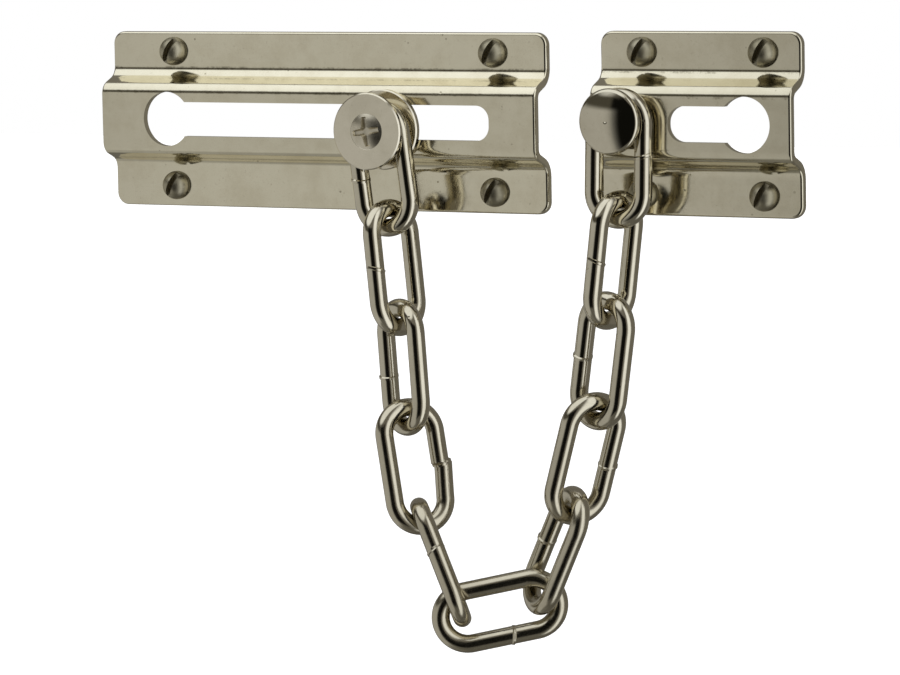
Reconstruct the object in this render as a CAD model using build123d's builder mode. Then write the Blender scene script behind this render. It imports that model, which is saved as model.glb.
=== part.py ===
"""Door chain guard: two hat-section plates, a sliding stud, a fixed stud and a chain.

Millimetres. +X runs along the plates from the door to the frame, +Z is up and the
fronts face -Y. The plate backs lie on y = 0. The origin is the centre of the door
plate's four screws, on the back plane.
"""
import os
from math import atan2, cos, radians, sin, sqrt, tan

from build123d import *

# Pressed plates
PLATE_HEIGHT = 45.5
PLATE_TOP = 22.6
SHEET = 1.8
HAT_DEPTH = 6.4
HAT_OFFSET = 0.2
FACE_HALF = 8.6
FLANGE_HALF = 11.4
FACE_BEND = 3.5
FACE_BEND_BACK = 1.7
FLANGE_BEND = 3.3
FLANGE_BEND_BACK = 5.1
BENDS = (FACE_BEND, FACE_BEND_BACK, FLANGE_BEND, FLANGE_BEND_BACK)
RIM_ROUND = 0.7
CORNER_RADIUS = 3.2
CUT_LENGTH = 20.0
FACE_Y = -(SHEET + HAT_DEPTH)
FACE_BACK = FACE_Y + SHEET
TINY = 0.001

DOOR_LENGTH = 129.0
DOOR_LEFT = -66.3
DOOR_HOLE_X = -46.1
DOOR_HOLE_RADIUS = 7.05
DOOR_SLOT_END = 49.5
SLOT_WIDTH = 8.85
DOOR_SLOT_CORNER = 3.6

FRAME_LENGTH = 54.8
FRAME_LEFT = 77.9
FRAME_RAISE = 0.5
FRAME_HOLE_X = 120.1
FRAME_HOLE_RADIUS = 6.9
FRAME_SLOT_END = 99.4
FRAME_SLOT_CORNER = 4.2

# Wood screws
SCREW_ROW = 17.5
DOOR_SCREW_HALF = 47.5
FRAME_SCREW_LEFT = 89.4
FRAME_SCREW_RIGHT = 122.4
SCREW_HOLE_RADIUS = 2.3
SCREW_RADIUS = 2.1
SCREW_NECK_RADIUS = 2.25
SCREW_ROOT = 1.55
SCREW_HEAD_RADIUS = 3.7
SCREW_HEAD_HEIGHT = 3.8
SCREW_HEAD_RIM = 0.5
SCREW_PLAIN = 5.6
SCREW_PITCH = 1.8
SCREW_THREADS = 5
SCREW_POINT = 2.6
SCREW_SLOT_WIDTH = 1.5
SCREW_SLOT_DEPTH = 2.3
SCREW_SLOT_TILT = 25.0
THREAD_CREST = 0.25

# Chain
WIRE_RADIUS = 2.3
LINK_PITCH = 25.2
LINK_CENTRE_WIDTH = 13.4
CONTACT_GAP = 0.34
WELD_SWELL = 0.2
WELD_LENGTH = 1.1
WELD_LEAN = 14.0
WELD_SHIFT = 0.12
WELD_STEP = 0.8
CROWN = LINK_CENTRE_WIDTH / 2
LINK_SPAN = LINK_PITCH + 2 * WIRE_RADIUS + CONTACT_GAP
WIRE_TO_WIRE = 2 * WIRE_RADIUS + CONTACT_GAP
LEG_HALF = LINK_SPAN / 2 - CROWN

# Sliding stud
SLIDER_X = 19.7
SLIDER_Z = -1.6
LEFT_CHAIN_Y = -12.9
NECK_RADIUS = 2.25
SPINDLE_RADIUS = 1.6
SLEEVE_RADIUS = 2.5
SLEEVE_BORE = 1.65
FOOT_RADIUS = 5.8
FOOT_FRONT = -5.0
FOOT_BACK = -2.8
FOOT_CHAMFER = 0.8
REAR_DISC_RADIUS = 10.2
REAR_DISC_BACK = -8.5
REAR_DISC_FRONT = -10.3
FRONT_DISC_RADIUS = 9.7
FRONT_DISC_BACK = -16.4
FRONT_DISC_FRONT = -17.9
DISC_EDGE = 0.3
CROSS_HEAD_RADIUS = 4.5
CROSS_HEAD_RISE = 1.0
CROSS_SINK_DEPTH = 1.2
CROSS_ARM = 8.0
CROSS_SLOT = 1.8
CROSS_DEPTH = 1.3
CROSS_HEART = 1.5
SLEEVE_HANG = 0.5
SLEEVE_SWING = (0.5, 0.15)
SEAT_GAP = 0.05
SPINDLE_BACK = -4.9
CROSS_TILT = 8.0
CROSS_TAPER = 22.0
FOOT_BORE_BACK = -4.4

# Fixed stud
FIXED_X = 87.3
FIXED_Z = 1.6
RIGHT_CHAIN_Y = -11.9
SHANK_RADIUS = 3.0
SHANK_BORE = 3.05
KNOB_RADIUS = 8.15
KNOB_BACK = -14.9
KNOB_RIM = 1.5
KNOB_CROWN = 1.6
KNOB_EDGE = 1.2
KNOB_BACK_EDGE = 0.3
RIVET_RADIUS = 4.6
RIVET_THICK = 1.5
RIVET_EDGE = 0.75
WASHER_RADIUS = 6.0
WASHER_THICK = 0.8
SHANK_HANG = 0.17
SHANK_SWING = (0.85, 0.4)

# Hang of each link: lean along +X, lean towards the viewer, turn of its face (degrees)
LEFT_LINKS = [(8.6, 1.8, 0.0), (7.1, 2.7, 75.0), (5.8, 3.4, -26.0), (11.4, 4.1, 48.0), (25.1, 2.9, -62.0)]
RIGHT_LINKS = [(-1.6, 0.2, 1.0), (-6.7, 1.0, 78.0), (-8.1, 0.3, -17.0), (-15.7, 0.0, 57.0)]
RIGHT_LINKS += [(-25.1, -1.2, -43.0)]
BOTTOM_TURN = 24.7
BOTTOM_TILT = -1.7
BOTTOM_DROP = 5.0
BOTTOM_SHIFT = 0.3

# Weld on each link: which leg, and its place along the link
WELDS = [(-1, 2.0), (-1, 0.0), (-1, 2.0), (1, 0.0), (1, -2.5), (-1, 2.0)]
WELDS += [(-1, 0.0), (1, 1.0), (-1, 0.0), (-1, 0.0), (1, -1.0)]
STEPPED_LINK = 4


def hat_outline(rise):
    """Corners of the pressed sheet as (y, z): front of the sheet, then its back."""
    top = PLATE_TOP + rise
    foot = top - PLATE_HEIGHT
    middle = HAT_OFFSET + rise
    slope = atan2(HAT_DEPTH, FLANGE_HALF - FACE_HALF)
    inset = SHEET * tan(slope / 2)
    back_flange = FLANGE_HALF - inset
    back_face = FACE_HALF - inset
    front_upper = [(-SHEET, top), (-SHEET, middle + FLANGE_HALF), (FACE_Y, middle + FACE_HALF)]
    front_lower = [(FACE_Y, middle - FACE_HALF), (-SHEET, middle - FLANGE_HALF), (-SHEET, foot)]
    back_lower = [(0.0, foot), (0.0, middle - back_flange), (FACE_BACK, middle - back_face)]
    back_upper = [(FACE_BACK, middle + back_face), (0.0, middle + back_flange), (0.0, top)]
    return front_upper + front_lower + back_lower + back_upper


def bends(sketch, depth, rise):
    """The bend corners of the outline that lie at one depth."""
    reach = PLATE_TOP - CORNER_RADIUS
    inner = [v for v in sketch.vertices() if abs(v.Y - rise) < reach]
    return [v for v in inner if abs(v.X - depth) < TINY]


def outer_rim(plate):
    """Edges of the raised face at the plate's ends; the whole outer front edge runs on from them."""
    level = [e for e in plate.edges().filter_by(Axis.Z) if abs(e.center().Y - FACE_Y) < TINY]
    return [e for e in level if e.length > FACE_HALF]


def pressed_plate(left, length, rise, hole, slot, screw_xs, stud=None):
    """One hat-section plate with its keyhole slot, screw holes and any stud hole.

    hole is the keyhole's (x, radius) and slot its narrow end's (x, corner radius).
    """
    middle = HAT_OFFSET + rise
    with BuildPart() as plate:
        with BuildSketch(Plane.YZ.offset(left)) as outline:
            Polygon(*hat_outline(rise), align=None)
            for depth, bend in zip((FACE_Y, FACE_BACK, -SHEET, 0.0), BENDS):
                fillet(bends(outline, depth, rise), bend)
        extrude(amount=length)
        rows = plate.edges().filter_by(Axis.Y).group_by(Axis.Z)
        fillet(rows[0] + rows[-1], CORNER_RADIUS)
        with BuildSketch(Plane.XZ.offset(-CUT_LENGTH / 2)) as keyhole:
            with Locations((hole[0], middle)):
                Circle(hole[1])
            with Locations(((hole[0] + slot[0]) / 2, middle)):
                Rectangle(abs(slot[0] - hole[0]), SLOT_WIDTH)
            ends = [v for v in keyhole.vertices() if abs(v.X - slot[0]) < TINY]
            fillet(ends, slot[1])
        extrude(amount=CUT_LENGTH, mode=Mode.SUBTRACT)
        with BuildSketch(Plane.XZ.offset(-CUT_LENGTH / 2)):
            with Locations(*[(x, rise + z) for x in screw_xs for z in (-SCREW_ROW, SCREW_ROW)]):
                Circle(SCREW_HOLE_RADIUS)
            if stud:
                with Locations(stud):
                    Circle(SHANK_BORE)
        extrude(amount=CUT_LENGTH, mode=Mode.SUBTRACT)
        fillet(outer_rim(plate), RIM_ROUND)
    return plate


def turned_plane(x, z):
    """Sketch plane through an axis along Y: local x is the radius, local y the depth."""
    return Plane(origin=(x, 0, z), x_dir=(1, 0, 0), z_dir=(0, 0, 1))


def turned(x, z, outline):
    """Solid of revolution about the Y axis through (x, z) from (radius, y) points."""
    with BuildPart() as piece:
        with BuildSketch(turned_plane(x, z)):
            Polygon(*outline, align=None)
        revolve(axis=Axis((x, 0, z), (0, 1, 0)))
    return piece


def screw_outline():
    """Half outline of a wood screw as (radius, y), without its round head."""
    outline = [(0.0, -SHEET), (SCREW_NECK_RADIUS, -SHEET), (SCREW_RADIUS, 0.0), (SCREW_RADIUS, SCREW_PLAIN)]
    for i in range(SCREW_THREADS):
        start = SCREW_PLAIN + i * SCREW_PITCH
        outline.append((SCREW_ROOT, start + SCREW_PITCH / 2 - THREAD_CREST))
        outline.append((SCREW_RADIUS, start + SCREW_PITCH - 2 * THREAD_CREST))
        outline.append((SCREW_RADIUS, start + SCREW_PITCH - THREAD_CREST))
    tail = SCREW_PLAIN + SCREW_THREADS * SCREW_PITCH
    outline.append((SCREW_ROOT, tail))
    outline.append((0.0, tail + SCREW_POINT))
    return outline


def wood_screw():
    """Round-head slotted wood screw on the Y axis through the origin, seated on a flange."""
    dome_height = SCREW_HEAD_HEIGHT - SCREW_HEAD_RIM
    crown_y = -SHEET - SCREW_HEAD_HEIGHT
    sag = (SCREW_HEAD_RADIUS**2 + dome_height**2) / (2 * dome_height)
    half = sag - sqrt(sag**2 - (SCREW_HEAD_RADIUS / 2) ** 2)
    rim = (SCREW_HEAD_RADIUS, -SHEET - SCREW_HEAD_RIM)
    with BuildPart() as screw:
        with BuildSketch(turned_plane(0, 0)):
            with BuildLine():
                Polyline((0, crown_y), (0, -SHEET), (SCREW_HEAD_RADIUS, -SHEET), rim)
                ThreePointArc(rim, (SCREW_HEAD_RADIUS / 2, crown_y + half), (0, crown_y))
            make_face()
            Polygon(*screw_outline(), align=None)
        revolve(axis=Axis.Y)
        with BuildSketch(Plane.XZ.offset(-crown_y)):
            Rectangle(SCREW_SLOT_WIDTH, 3 * SCREW_HEAD_RADIUS, rotation=-SCREW_SLOT_TILT)
        extrude(amount=-SCREW_SLOT_DEPTH, mode=Mode.SUBTRACT)
    return screw


def screw_group(screw, xs, rise):
    """Four copies of the screw at a plate's holes."""
    places = [(x, 0, rise + z) for x in xs for z in (-SCREW_ROW, SCREW_ROW)]
    with BuildPart() as group:
        with Locations(*places):
            add(screw.part)
    return group


def disc(radius, back, front):
    """Round disc of the sliding stud with eased edges and a bore for the screw."""
    corners = [(SLEEVE_BORE, back), (radius, back), (radius, front), (SLEEVE_BORE, front)]
    with BuildPart() as plate:
        with BuildSketch(turned_plane(SLIDER_X, SLIDER_Z)) as section:
            Polygon(*corners, align=None)
            chamfer([v for v in section.vertices() if abs(v.X - radius) < TINY], DISC_EDGE)
        revolve(axis=Axis((SLIDER_X, 0, SLIDER_Z), (0, 1, 0)))
    return plate


def front_disc():
    """Front disc of the sliding stud, countersunk for its screw."""
    with BuildPart() as plate:
        add(disc(FRONT_DISC_RADIUS, FRONT_DISC_BACK, FRONT_DISC_FRONT).part)
        add(turned(SLIDER_X, SLIDER_Z, countersink(SLEEVE_BORE, SEAT_GAP)).part, mode=Mode.SUBTRACT)
    return plate


def countersink(inner, gap):
    """Outline of the countersunk seat or head as (radius, y), grown by a gap."""
    seat = FRONT_DISC_FRONT + CROSS_SINK_DEPTH
    front = FRONT_DISC_FRONT - CROSS_HEAD_RISE
    wide = CROSS_HEAD_RADIUS + gap
    return [(0.0, front), (wide, front), (wide, FRONT_DISC_FRONT), (inner, seat + gap), (0.0, seat + gap)]


def slider_foot():
    """Foot that runs inside the channel, and the neck that passes through the slot."""
    edge = FOOT_CHAMFER
    outline = [(0.0, FOOT_BACK), (FOOT_RADIUS - edge, FOOT_BACK), (FOOT_RADIUS, FOOT_BACK - edge)]
    outline += [(FOOT_RADIUS, FOOT_FRONT + edge), (FOOT_RADIUS - edge, FOOT_FRONT)]
    outline += [(NECK_RADIUS, FOOT_FRONT), (NECK_RADIUS, REAR_DISC_BACK), (SLEEVE_BORE, REAR_DISC_BACK)]
    outline += [(SLEEVE_BORE, FOOT_BORE_BACK), (0.0, FOOT_BORE_BACK)]
    return turned(SLIDER_X, SLIDER_Z, outline)


def slider_sleeve():
    """Tube that spaces the two discs and carries the first link."""
    outline = [(SLEEVE_BORE, REAR_DISC_FRONT), (SLEEVE_RADIUS, REAR_DISC_FRONT)]
    outline += [(SLEEVE_RADIUS, FRONT_DISC_BACK), (SLEEVE_BORE, FRONT_DISC_BACK)]
    return turned(SLIDER_X, SLIDER_Z, outline)


def slider_screw():
    """Raised countersunk screw with a cross recess that clamps the sliding stud."""
    seat = FRONT_DISC_FRONT + CROSS_SINK_DEPTH
    crown = FRONT_DISC_FRONT - CROSS_HEAD_RISE
    sag = (CROSS_HEAD_RADIUS**2 + CROSS_HEAD_RISE**2) / (2 * CROSS_HEAD_RISE)
    half = sag - sqrt(sag**2 - (CROSS_HEAD_RADIUS / 2) ** 2)
    rim = (CROSS_HEAD_RADIUS, FRONT_DISC_FRONT)
    with BuildPart() as screw:
        with BuildSketch(turned_plane(SLIDER_X, SLIDER_Z)):
            with BuildLine():
                Polyline((0, crown), (0, SPINDLE_BACK), (SPINDLE_RADIUS, SPINDLE_BACK))
                Polyline((SPINDLE_RADIUS, SPINDLE_BACK), (SPINDLE_RADIUS, seat), rim)
                ThreePointArc(rim, (CROSS_HEAD_RADIUS / 2, crown + half), (0, crown))
            make_face()
        revolve(axis=Axis((SLIDER_X, 0, SLIDER_Z), (0, 1, 0)))
        with BuildSketch(Plane.XZ.offset(-crown)):
            with Locations(Location((SLIDER_X, SLIDER_Z), CROSS_TILT)):
                Rectangle(CROSS_ARM, CROSS_SLOT)
                Rectangle(CROSS_SLOT, CROSS_ARM)
                Circle(CROSS_HEART)
        extrude(amount=-CROSS_DEPTH, taper=CROSS_TAPER, mode=Mode.SUBTRACT)
    return screw


def corner_at(sketch, radius, y):
    """The corner of a turned outline at one radius and depth."""
    return [v for v in sketch.vertices() if abs(v.X - radius) < TINY and abs(v.Y - y) < TINY]


def fixed_stud():
    """Riveted stud with a domed knob, held in the frame plate."""
    rim_y = KNOB_BACK - KNOB_RIM
    crown_y = rim_y - KNOB_CROWN
    sag = (KNOB_RADIUS**2 + KNOB_CROWN**2) / (2 * KNOB_CROWN)
    half = sag - sqrt(sag**2 - (KNOB_RADIUS / 2) ** 2)
    rivet_y = FACE_BACK + RIVET_THICK
    with BuildPart() as stud:
        with BuildSketch(turned_plane(FIXED_X, FIXED_Z)) as section:
            with BuildLine():
                Polyline((0, crown_y), (0, rivet_y), (RIVET_RADIUS, rivet_y), (RIVET_RADIUS, FACE_BACK))
                Polyline((RIVET_RADIUS, FACE_BACK), (SHANK_RADIUS, FACE_BACK), (SHANK_RADIUS, KNOB_BACK))
                Polyline((SHANK_RADIUS, KNOB_BACK), (KNOB_RADIUS, KNOB_BACK), (KNOB_RADIUS, rim_y))
                ThreePointArc((KNOB_RADIUS, rim_y), (KNOB_RADIUS / 2, crown_y + half), (0, crown_y))
            make_face()
            fillet(corner_at(section, KNOB_RADIUS, rim_y), KNOB_EDGE)
            fillet(corner_at(section, KNOB_RADIUS, KNOB_BACK), KNOB_BACK_EDGE)
            fillet(corner_at(section, RIVET_RADIUS, rivet_y), RIVET_EDGE)
        revolve(axis=Axis((FIXED_X, 0, FIXED_Z), (0, 1, 0)))
    return stud


def stud_washer():
    """Flat washer between the frame plate and the last link."""
    front = FACE_Y - WASHER_THICK
    outline = [(SHANK_BORE, FACE_Y), (WASHER_RADIUS, FACE_Y), (WASHER_RADIUS, front), (SHANK_BORE, front)]
    return turned(FIXED_X, FIXED_Z, outline)


def half_ring(side):
    """Rounded end of a link: half a torus beyond the straight legs, at side +1 or -1."""
    with BuildPart() as ring:
        with BuildSketch(Plane(origin=(side * LEG_HALF, CROWN, 0), x_dir=(0, 1, 0), z_dir=(side, 0, 0))):
            Circle(WIRE_RADIUS)
        revolve(axis=Axis((side * LEG_HALF, 0, 0), (0, 0, -side)), revolution_arc=180)
    return ring


def leg(side):
    """One straight leg of a link, on the side +1 or -1 of its centre line."""
    with BuildPart() as wire:
        with BuildSketch(Plane.YZ.offset(-LEG_HALF)):
            with Locations((side * CROWN, 0)):
                Circle(WIRE_RADIUS)
        extrude(amount=2 * LEG_HALF)
    return wire


def stepped_leg(side):
    """A leg whose two halves meet out of line at the weld."""
    with BuildPart() as wire:
        with BuildSketch(Plane.YZ.offset(-LEG_HALF)):
            with Locations((side * CROWN, 0)):
                Circle(WIRE_RADIUS)
        extrude(amount=LEG_HALF)
        with BuildSketch(Plane.YZ):
            with Locations((side * (CROWN + WELD_STEP), 0)):
                Circle(WIRE_RADIUS)
        with BuildSketch(Plane.YZ.offset(LEG_HALF)):
            with Locations((side * CROWN, 0)):
                Circle(WIRE_RADIUS)
        loft()
    return wire


def weld_bead(side, along, step):
    """Slightly swollen ring where a link's wire was closed, askew on the wire."""
    half = WELD_LENGTH / 2
    swell = WIRE_RADIUS + WELD_SWELL
    outline = [(-half, 0), (-half, WIRE_RADIUS - WELD_SWELL), (-half / 2, swell)]
    outline += [(half / 2, swell), (half, WIRE_RADIUS - WELD_SWELL), (half, 0)]
    with BuildPart() as ring:
        with BuildSketch(Plane.XY):
            Polygon(*outline, align=None)
        revolve(axis=Axis.X)
    spot = (along, side * (CROWN + step / 2), WELD_SHIFT)
    with BuildPart() as bead:
        with Locations(Location(spot, (0, WELD_LEAN, side * WELD_LEAN))):
            add(ring.part)
    return bead


def chain_link(place, weld, stepped):
    """One link as a single solid, laid on its plane: local x along it, local z its face."""
    side, along = weld
    with BuildPart() as shape:
        add(half_ring(1).part)
        add(half_ring(-1).part)
        add(leg(-side).part)
        if stepped:
            add(stepped_leg(side).part)
        else:
            add(leg(side).part)
        add(weld_bead(side, along, WELD_STEP if stepped else 0.0).part)
    with BuildPart() as link:
        with Locations(Location(place)):
            add(shape.part)
    return link


def direction(lean, forward):
    """Unit vector of a hanging link, leaned along +X and towards the viewer."""
    across = cos(radians(forward))
    return Vector(sin(radians(lean)) * across, -sin(radians(forward)), -cos(radians(lean)) * across)


def strand(pin, reach, links):
    """Wire centres at the top and bottom of each link hung in turn from a pin."""
    runs = [direction(lean, forward) for lean, forward, _ in links]
    first = Vector(runs[0].X, 0, runs[0].Z).normalized()
    top = pin - first * reach
    ends = []
    for i in range(len(runs)):
        bottom = top + runs[i] * LINK_SPAN
        ends.append((top, bottom))
        if i + 1 < len(runs):
            top = bottom - (runs[i] + runs[i + 1]).normalized() * WIRE_TO_WIRE
    return ends


def link_plane(start, end, turn, tilt=0.0, shift=(0.0, 0.0)):
    """Plane of a link: origin midway, x along it, z its face turned about vertical."""
    along = (end - start).normalized()
    level = cos(radians(tilt))
    face = Vector(sin(radians(turn)) * level, -cos(radians(turn)) * level, sin(radians(tilt)))
    face = (face - along * face.dot(along)).normalized()
    across = face.cross(along)
    middle = (start + end) * 0.5 + along * shift[0] + across * shift[1]
    return Plane(origin=middle, x_dir=along, z_dir=face)


def chain_planes():
    """Planes of the links from the sliding stud down, across and up to the fixed stud."""
    left_pin = Vector(SLIDER_X + SLEEVE_SWING[0], LEFT_CHAIN_Y, SLIDER_Z + SLEEVE_SWING[1])
    right_pin = Vector(FIXED_X + SHANK_SWING[0], RIGHT_CHAIN_Y, FIXED_Z + SHANK_SWING[1])
    left = strand(left_pin, SLEEVE_RADIUS + WIRE_RADIUS + SLEEVE_HANG, LEFT_LINKS)
    right = strand(right_pin, SHANK_RADIUS + WIRE_RADIUS + SHANK_HANG, RIGHT_LINKS)
    planes = [link_plane(left[i][0], left[i][1], LEFT_LINKS[i][2]) for i in range(len(left))]
    drop = (CROWN - WIRE_TO_WIRE) * sin(radians(BOTTOM_DROP))
    planes.append(link_plane(left[-1][1], right[-1][1], BOTTOM_TURN, BOTTOM_TILT, (BOTTOM_SHIFT, -drop)))
    for i in reversed(range(len(right))):
        planes.append(link_plane(right[i][0], right[i][1], RIGHT_LINKS[i][2]))
    return planes


def save(name, piece):
    """Label a piece and write its STEP file."""
    piece.part.label = name
    export_step(piece.part, "parts/" + name + ".step")


os.makedirs("parts", exist_ok=True)

door_screw_xs = (-DOOR_SCREW_HALF, DOOR_SCREW_HALF)
frame_screw_xs = (FRAME_SCREW_LEFT, FRAME_SCREW_RIGHT)
door_hole = (DOOR_HOLE_X, DOOR_HOLE_RADIUS)
door_slot = (DOOR_SLOT_END, DOOR_SLOT_CORNER)
frame_hole = (FRAME_HOLE_X, FRAME_HOLE_RADIUS)
frame_slot = (FRAME_SLOT_END, FRAME_SLOT_CORNER)
door_cuts = (door_hole, door_slot, door_screw_xs)
save("door_plate", pressed_plate(DOOR_LEFT, DOOR_LENGTH, 0.0, *door_cuts))
frame_cuts = (frame_hole, frame_slot, frame_screw_xs, (FIXED_X, FIXED_Z))
save("frame_plate", pressed_plate(FRAME_LEFT, FRAME_LENGTH, FRAME_RAISE, *frame_cuts))

mounting_screw = wood_screw()
save("door_plate_screws", screw_group(mounting_screw, door_screw_xs, 0.0))
save("frame_plate_screws", screw_group(mounting_screw, frame_screw_xs, FRAME_RAISE))

save("slider_foot", slider_foot())
save("slider_rear_disc", disc(REAR_DISC_RADIUS, REAR_DISC_BACK, REAR_DISC_FRONT))
save("slider_sleeve", slider_sleeve())
save("slider_front_disc", front_disc())
save("slider_screw", slider_screw())

save("fixed_stud", fixed_stud())
save("fixed_stud_washer", stud_washer())

for number, place in enumerate(chain_planes(), start=1):
    link = chain_link(place, WELDS[number - 1], number == STEPPED_LINK)
    save("chain_link_" + str(number).zfill(2), link)
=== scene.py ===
"""Satin nickel door chain guard under soft studio panels, on a plain pale floor."""
from math import cos, radians, sin

import bpy
from mathutils import Matrix, Vector


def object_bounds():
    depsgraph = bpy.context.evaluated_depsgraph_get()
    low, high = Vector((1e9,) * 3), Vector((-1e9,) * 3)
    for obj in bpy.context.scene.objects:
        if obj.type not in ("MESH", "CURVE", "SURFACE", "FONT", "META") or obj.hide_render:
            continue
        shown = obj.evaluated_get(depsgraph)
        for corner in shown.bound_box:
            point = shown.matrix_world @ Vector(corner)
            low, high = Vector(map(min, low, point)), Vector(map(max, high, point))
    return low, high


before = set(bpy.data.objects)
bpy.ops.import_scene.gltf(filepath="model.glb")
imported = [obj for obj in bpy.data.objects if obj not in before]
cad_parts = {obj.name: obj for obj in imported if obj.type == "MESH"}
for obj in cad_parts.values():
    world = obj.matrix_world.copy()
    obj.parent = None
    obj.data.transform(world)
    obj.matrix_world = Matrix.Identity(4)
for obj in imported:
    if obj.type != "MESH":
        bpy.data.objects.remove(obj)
cad_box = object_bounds()

# Camera: where it stands round the object, and its lens
CAMERA_AZIMUTH = radians(29.5)
CAMERA_ELEVATION = radians(6.0)
CAMERA_ROLL = radians(-1.048)
CAMERA_DISTANCE = 1.1645
CAMERA_LENS = 183.2
CAMERA_SENSOR = 36.0
CAMERA_CLIP = (0.05, 50.0)
CAMERA_TARGET = Vector((0.03268, 0.0, -0.05493))

# Floor: how far it lies below the object, its side, and its glow and paint
FLOOR_DROP = 0.30
FLOOR_SIZE = 12.0
FLOOR_TONE = (0.93, 0.93, 0.93, 1.0)
FLOOR_ROUGHNESS = 0.8
FLOOR_GLOW = 0.75
WHITE = (1.0, 1.0, 1.0, 1.0)

# Studio round the metal. Azimuths run from the front towards +X, heights are sines.
# The room's tone fills what no panel covers. The softbox hangs overhead, left of the front.
ROOM = (0.20, 0.19, 0.17, 1.0)
SOFTBOX_AZIMUTH = radians(-42.0)
SOFTBOX_ELEVATION = radians(62.0)
SOFTBOX_INNER = radians(29.0)
SOFTBOX_OUTER = radians(38.0)
SOFTBOX_TONE = (1.10, 1.13, 1.16, 1.0)

# Each panel: azimuth range in degrees, height range, (azimuth, height) soft edges, tone.
# Later ones cover earlier ones. In order: the floor, the floor in front on the left, the
# gap below the softbox, the dark gap in front, the grey card that the flat faces mirror,
# the bright strip on the right and the ceiling.
PANELS = [
    ((-180.0, 180.0), (-1.2, -0.60), (1.0, 0.20), (0.15, 0.145, 0.13, 1.0)),
    ((-110.0, -20.0), (-1.0, -0.45), (20.0, 0.15), (0.20, 0.195, 0.175, 1.0)),
    ((-105.0, -5.0), (0.19, 0.42), (12.0, 0.06), (0.08, 0.075, 0.06, 1.0)),
    ((-16.0, 29.0), (-0.60, 0.40), (8.0, 0.12), (0.006, 0.006, 0.005, 1.0)),
    ((-100.0, -31.0), (-0.78, 0.15), (24.0, 0.12), (0.51, 0.505, 0.485, 1.0)),
    ((62.0, 82.0), (-0.85, 0.85), (20.0, 0.12), (1.22, 1.25, 1.29, 1.0)),
    ((-180.0, 180.0), (0.94, 1.3), (1.0, 0.05), (0.75, 0.745, 0.72, 1.0)),
]

# Metal tones
NICKEL = (0.80, 0.75, 0.59, 1.0)
NICKEL_DULL = (0.735, 0.68, 0.52, 1.0)
STUD_TONE = (0.64, 0.595, 0.475, 1.0)
STUD_DULL = (0.58, 0.535, 0.42, 1.0)
# Dark tone of specks and pits; also the painted shade on the lower chain links
NICKEL_SPECK_AND_SHADE = (0.30, 0.26, 0.17, 1.0)
NICKEL_BRIGHT = (0.86, 0.82, 0.68, 1.0)
SCREW_TONE = (0.44, 0.405, 0.30, 1.0)
SCREW_DULL = (0.33, 0.30, 0.21, 1.0)
DISC_TONE = (0.76, 0.705, 0.575, 1.0)
DISC_DULL = (0.69, 0.64, 0.51, 1.0)
# Dark olive of the crease specks and the darker raised face; also painted shade at the plate ends and
# beside the bends
SHADE_AND_GRIME = (0.16, 0.14, 0.09, 1.0)

# Texture of the metal: noise scales, and what each layer adds to the colour
CLOUD_SCALE = 70.0
STAIN_SCALE = 260.0
STAIN_ROUGHNESS = 0.62
DUST_SCALE = 1500.0
DRAG_SCALE = 900.0
DRAG_STRETCH = (0.06, 1.0, 1.0)
PIT_SCALE = 620.0
PIT_RIM = (0.24, 0.10)
PIT_PATCH_SCALE = 330.0
PIT_PATCHES = (0.60, 0.72)
CLOUD_SHARE = 0.55
DULL_RANGE = (0.40, 0.66)
DUST_RANGE = (0.60, 0.78)
DUST_AMOUNT = 0.16
PIT_AMOUNT = 0.6
DRAG_RANGE = (0.58, 0.74)
STAIN_WEAR = 0.6
WEAR_RANGE = (0.34, 0.70)

# Strengths of the bump layers
DUST_BUMP = 0.5
DRAG_BUMP = 0.35
PIT_BUMP = 0.8

# Plate darkening, in metres: the darker raised face in depth, painted shade towards the two ends along X,
# and rows of painted crease shade broken into specks beside the upper bends in height
FACE_DEPTH = (-0.0074, -0.0080)
FACE_DARKENING = 0.08
# Painted shade towards the far and near ends: where it starts along X and how strong it grows
FAR_END = (0.060, 0.135)
FAR_END_SHADE = 0.20
NEAR_END = (-0.040, -0.068)
NEAR_END_SHADE = 0.08
# Painted crease shade: thin dark rows beside the upper bends, broken into specks by the stain and dust
# noise
CREASE_SHADE_ROWS = ((0.0070, 0.0076), (0.0129, 0.0135))
ROW_EDGE = 0.0002
CREASE_SHADE_DUST = 0.5
CREASE_SHADE_RANGE = (0.70, 0.95)
CREASE_SHADE_AMOUNT = 0.5

# Roughening and painted shade of the chain, which grow down its height
CHAIN_DROP = (-0.030, -0.120)
CHAIN_ROUGHENING = 0.09
# Painted shade: how much the lower links darken
CHAIN_PAINTED_SHADE = 0.25


class Tree:
    """Short hand for building one node tree."""

    def __init__(self, tree):
        self.tree = tree
        tree.nodes.clear()

    def node(self, kind, inputs=None, **settings):
        """A new node with its settings, and its inputs linked or set."""
        made = self.tree.nodes.new(kind)
        for key, value in settings.items():
            setattr(made, key, value)
        for key, value in (inputs or {}).items():
            self.feed(made.inputs[key], value)
        return made

    def feed(self, socket, value):
        """Links an output to a socket, or sets the socket's own value."""
        if isinstance(value, bpy.types.NodeSocket):
            self.tree.links.new(value, socket)
        else:
            socket.default_value = value

    def math(self, operation, *values):
        """Result of one Math node."""
        made = self.node("ShaderNodeMath", operation=operation)
        for i, value in enumerate(values):
            self.feed(made.inputs[i], value)
        return made.outputs[0]

    def ramp(self, value, low, high, smooth=True):
        """0 below low and 1 above high, eased between them."""
        kind = "SMOOTHSTEP" if smooth else "LINEAR"
        inputs = {"Value": value, "From Min": low, "From Max": high}
        return self.node("ShaderNodeMapRange", inputs, interpolation_type=kind).outputs["Result"]

    def mix(self, factor, first, second):
        """Colour mix."""
        made = self.node("ShaderNodeMix", data_type="RGBA")
        self.feed(made.inputs["Factor"], factor)
        self.feed(made.inputs[6], first)
        self.feed(made.inputs[7], second)
        return made.outputs[2]


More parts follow.
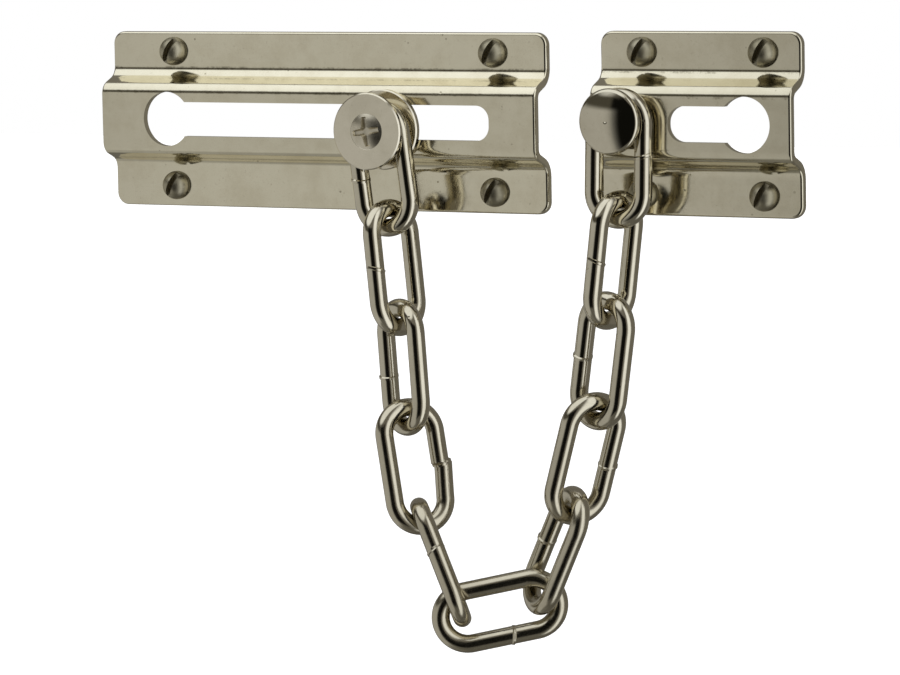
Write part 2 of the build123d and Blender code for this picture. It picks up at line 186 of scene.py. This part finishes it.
# ---------------------------------------------------------------- studio

def band(tree, value, low, high, edge):
    """1 between low and high with soft edges outside them."""
    rise = tree.ramp(value, low - edge, low)
    fall = tree.ramp(value, high, high + edge)
    return tree.math("MULTIPLY", rise, tree.math("SUBTRACT", 1.0, fall))


def panel(tree, azimuth, height, across, up, edges):
    """Mask of a soft light panel: a range of azimuth in degrees and of height as the sine."""
    sides = band(tree, azimuth, radians(across[0]), radians(across[1]), radians(edges[0]))
    levels = band(tree, height, up[0], up[1], edges[1])
    return tree.math("MULTIPLY", sides, levels)


def softbox(tree, heading):
    """Mask of the round softbox overhead."""
    across = cos(SOFTBOX_ELEVATION)
    aim = (sin(SOFTBOX_AZIMUTH) * across, -cos(SOFTBOX_AZIMUTH) * across, sin(SOFTBOX_ELEVATION))
    near = tree.node("ShaderNodeVectorMath", {0: heading, 1: aim}, operation="DOT_PRODUCT")
    return tree.ramp(near.outputs["Value"], cos(SOFTBOX_OUTER), cos(SOFTBOX_INNER))


def studio_world():
    """White to the camera; soft panels and dark gaps to the metal."""
    world = bpy.data.worlds.new("studio")
    world.use_nodes = True
    tree = Tree(world.node_tree)
    heading = tree.node("ShaderNodeTexCoord").outputs["Generated"]
    axes = tree.node("ShaderNodeSeparateXYZ", {"Vector": heading})
    forward = tree.math("MULTIPLY", axes.outputs["Y"], -1.0)
    azimuth = tree.math("ARCTAN2", axes.outputs["X"], forward)
    height = axes.outputs["Z"]
    colour = ROOM
    for across, up, edges, tone in PANELS:
        colour = tree.mix(panel(tree, azimuth, height, across, up, edges), colour, tone)
    colour = tree.mix(softbox(tree, heading), colour, SOFTBOX_TONE)
    seen = tree.node("ShaderNodeLightPath").outputs["Is Camera Ray"]
    shown = tree.mix(seen, colour, WHITE)
    background = tree.node("ShaderNodeBackground", {"Color": shown, "Strength": 1.0})
    tree.node("ShaderNodeOutputWorld", {"Surface": background.outputs[0]})
    bpy.context.scene.world = world


def pale_floor():
    """Plain pale floor below the object."""
    low, high = cad_box
    half = FLOOR_SIZE / 2
    corners = [(-half, -half, 0.0), (half, -half, 0.0), (half, half, 0.0), (-half, half, 0.0)]
    mesh = bpy.data.meshes.new("floor")
    mesh.from_pydata(corners, [], [(0, 1, 2, 3)])
    floor = bpy.data.objects.new("floor", mesh)
    floor.location = ((low.x + high.x) / 2, (low.y + high.y) / 2, low.z - FLOOR_DROP)
    bpy.context.scene.collection.objects.link(floor)
    material = bpy.data.materials.new("floor_paint")
    material.use_nodes = True
    tree = Tree(material.node_tree)
    inputs = {"Base Color": FLOOR_TONE, "Roughness": FLOOR_ROUGHNESS}
    inputs.update({"Emission Color": WHITE, "Emission Strength": FLOOR_GLOW})
    shader = tree.node("ShaderNodeBsdfPrincipled", inputs)
    tree.node("ShaderNodeOutputMaterial", {"Surface": shader.outputs[0]})
    mesh.materials.append(material)
    floor.visible_glossy = False


def camera():
    """Camera at the viewing angle, turned by its small roll."""
    across = cos(CAMERA_ELEVATION)
    back = Vector((sin(CAMERA_AZIMUTH) * across, -cos(CAMERA_AZIMUTH) * across, sin(CAMERA_ELEVATION)))
    right = Vector((cos(CAMERA_AZIMUTH), sin(CAMERA_AZIMUTH), 0.0))
    up = back.cross(right)
    side = right * cos(CAMERA_ROLL) + up * sin(CAMERA_ROLL)
    top = back.cross(side)
    data = bpy.data.cameras.new("camera")
    data.lens = CAMERA_LENS
    data.sensor_width = CAMERA_SENSOR
    data.clip_start, data.clip_end = CAMERA_CLIP
    shot = bpy.data.objects.new("camera", data)
    turn = Matrix((side, top, back)).transposed().to_4x4()
    shot.matrix_world = Matrix.Translation(CAMERA_TARGET + back * CAMERA_DISTANCE) @ turn
    bpy.context.scene.collection.objects.link(shot)
    bpy.context.scene.camera = shot


# ---------------------------------------------------------------- metal

def plate_shade_and_specks(tree, axes, base, stain, dust):
    """Plate colour with a darker face, painted shade towards the ends, and painted crease shade in specks
    beside the bends.
    """
    face = tree.ramp(axes.outputs["Y"], *FACE_DEPTH)
    # Painted shade: the plates darken along X towards both ends
    far = tree.ramp(axes.outputs["X"], *FAR_END, smooth=False)
    near = tree.ramp(axes.outputs["X"], *NEAR_END, smooth=False)
    ends = tree.math("ADD", tree.math("MULTIPLY", far, FAR_END_SHADE), tree.math("MULTIPLY", near, NEAR_END_SHADE))
    shade_and_wear = tree.math("ADD", tree.math("MULTIPLY", face, FACE_DARKENING), ends)
    base = tree.mix(shade_and_wear, base, SHADE_AND_GRIME)
    # Painted crease shade in specks beside the upper bends
    rows = 0.0
    for low, high in CREASE_SHADE_ROWS:
        rows = tree.math("ADD", rows, band(tree, axes.outputs["Z"], low, high, ROW_EDGE))
    spread = tree.math("ADD", stain, tree.math("MULTIPLY", dust, CREASE_SHADE_DUST))
    specks = tree.math("MULTIPLY", rows, tree.ramp(spread, *CREASE_SHADE_RANGE))
    return tree.mix(tree.math("MULTIPLY", specks, CREASE_SHADE_AMOUNT), base, SHADE_AND_GRIME)


def chain_roughening_and_shade(tree, axes, base, gloss):
    """Chain colour and roughness: rougher towards its lower links, and darker there with painted shade.
    """
    low = tree.ramp(axes.outputs["Z"], *CHAIN_DROP)
    rougher = tree.math("ADD", gloss, tree.math("MULTIPLY", low, CHAIN_ROUGHENING))
    # Painted shade: the lower links darken towards the speck tone
    darker = tree.mix(tree.math("MULTIPLY", low, CHAIN_PAINTED_SHADE), base, NICKEL_SPECK_AND_SHADE)
    return darker, rougher


def nickel(name, tone, dull, roughness, grain, pits, marks, shade_and_wear=None):
    """Satin nickel: clouded tone, fine grain along X, pits and faint drag marks.

    roughness is its (low, high) range, grain and pits are bump heights in metres, marks a
    0-1 amount. The last argument adds the painted shade, the darker face, the specks and the roughening
    particular to the "plate" or the "chain".
    """
    material = bpy.data.materials.new(name)
    material.use_nodes = True
    tree = Tree(material.node_tree)
    place = tree.node("ShaderNodeTexCoord").outputs["Object"]
    axes = tree.node("ShaderNodeSeparateXYZ", {"Vector": place})

    def noise(scale, detail, stretch=(1.0, 1.0, 1.0), rough=0.5):
        spread = tree.node("ShaderNodeMapping", {"Vector": place, "Scale": stretch})
        inputs = {"Vector": spread.outputs[0], "Scale": scale, "Detail": detail, "Roughness": rough}
        return tree.node("ShaderNodeTexNoise", inputs).outputs["Fac"]

    def blend(first, second, share):
        rest = tree.math("MULTIPLY", second, 1.0 - share)
        return tree.math("ADD", tree.math("MULTIPLY", first, share), rest)

    def bump(height, distance, strength, under=None):
        inputs = {"Height": height, "Distance": distance, "Strength": strength}
        if under:
            inputs["Normal"] = under
        return tree.node("ShaderNodeBump", inputs).outputs[0]

    clouds = noise(CLOUD_SCALE, 4.0)
    stain = noise(STAIN_SCALE, 5.0, rough=STAIN_ROUGHNESS)
    dust = noise(DUST_SCALE, 3.0)
    drag = noise(DRAG_SCALE, 3.0, DRAG_STRETCH)
    cells = {"Vector": place, "Scale": PIT_SCALE, "Randomness": 1.0}
    hollow = tree.node("ShaderNodeTexVoronoi", cells).outputs["Distance"]
    patches = tree.ramp(noise(PIT_PATCH_SCALE, 2.0), *PIT_PATCHES)
    pit = tree.math("MULTIPLY", tree.ramp(hollow, *PIT_RIM), patches)

    base = tree.mix(tree.ramp(blend(clouds, stain, CLOUD_SHARE), *DULL_RANGE), tone, dull)
    dusty = tree.math("MULTIPLY", tree.ramp(dust, *DUST_RANGE), DUST_AMOUNT)
    base = tree.mix(dusty, base, NICKEL_SPECK_AND_SHADE)
    base = tree.mix(tree.math("MULTIPLY", pit, PIT_AMOUNT), base, NICKEL_SPECK_AND_SHADE)
    streak = tree.math("MULTIPLY", tree.ramp(drag, *DRAG_RANGE), marks)
    base = tree.mix(streak, base, NICKEL_BRIGHT)

    wear = {"Value": blend(stain, drag, STAIN_WEAR), "From Min": WEAR_RANGE[0], "From Max": WEAR_RANGE[1]}
    wear.update({"To Min": roughness[0], "To Max": roughness[1]})
    gloss = tree.node("ShaderNodeMapRange", wear).outputs["Result"]
    # Painted shade, specks and a darker face on the plates; painted shade and roughening on the chain
    if shade_and_wear == "plate":
        base = plate_shade_and_specks(tree, axes, base, stain, dust)
    if shade_and_wear == "chain":
        base, gloss = chain_roughening_and_shade(tree, axes, base, gloss)

    fine = bump(dust, grain, DUST_BUMP)
    lined = bump(drag, grain, DRAG_BUMP, fine)
    pitted = bump(tree.math("SUBTRACT", 1.0, pit), pits, PIT_BUMP, lined)

    finish = {"Base Color": base, "Roughness": gloss, "Metallic": 1.0, "Normal": pitted}
    shader = tree.node("ShaderNodeBsdfPrincipled", finish)
    tree.node("ShaderNodeOutputMaterial", {"Surface": shader.outputs[0]})
    return material


def paint(names, material):
    """Gives CAD nodes one material."""
    for name in names:
        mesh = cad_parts[name].data
        mesh.materials.clear()
        mesh.materials.append(material)


# Each finish: name, tone, dull tone, roughness range, grain, pits, drag marks, shade and wear
plate_metal = nickel("plate_nickel", NICKEL, NICKEL_DULL, (0.09, 0.17), 0.000006, 0.00003, 0.15, "plate")
disc_metal = nickel("disc_nickel", DISC_TONE, DISC_DULL, (0.10, 0.18), 0.000006, 0.00003, 0.10)
knob_metal = nickel("knob_nickel", STUD_TONE, STUD_DULL, (0.05, 0.09), 0.000003, 0.00001, 0.05)
screw_metal = nickel("screw_nickel", SCREW_TONE, SCREW_DULL, (0.36, 0.48), 0.00002, 0.00005, 0.08)
recess_metal = nickel("recess_nickel", DISC_TONE, STUD_DULL, (0.26, 0.38), 0.00001, 0.00004, 0.10)
chain_metal = nickel("chain_nickel", STUD_TONE, STUD_DULL, (0.06, 0.15), 0.00001, 0.00005, 0.06, "chain")

paint(["door_plate", "frame_plate"], plate_metal)
paint(["door_plate_screws", "frame_plate_screws"], screw_metal)
paint(["slider_foot", "slider_rear_disc", "slider_sleeve", "slider_front_disc"], disc_metal)
paint(["slider_screw"], recess_metal)
paint(["fixed_stud", "fixed_stud_washer"], knob_metal)
paint([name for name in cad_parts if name.startswith("chain_link_")], chain_metal)

studio_world()
pale_floor()
camera()
bpy.context.scene.view_settings.view_transform = "Standard"
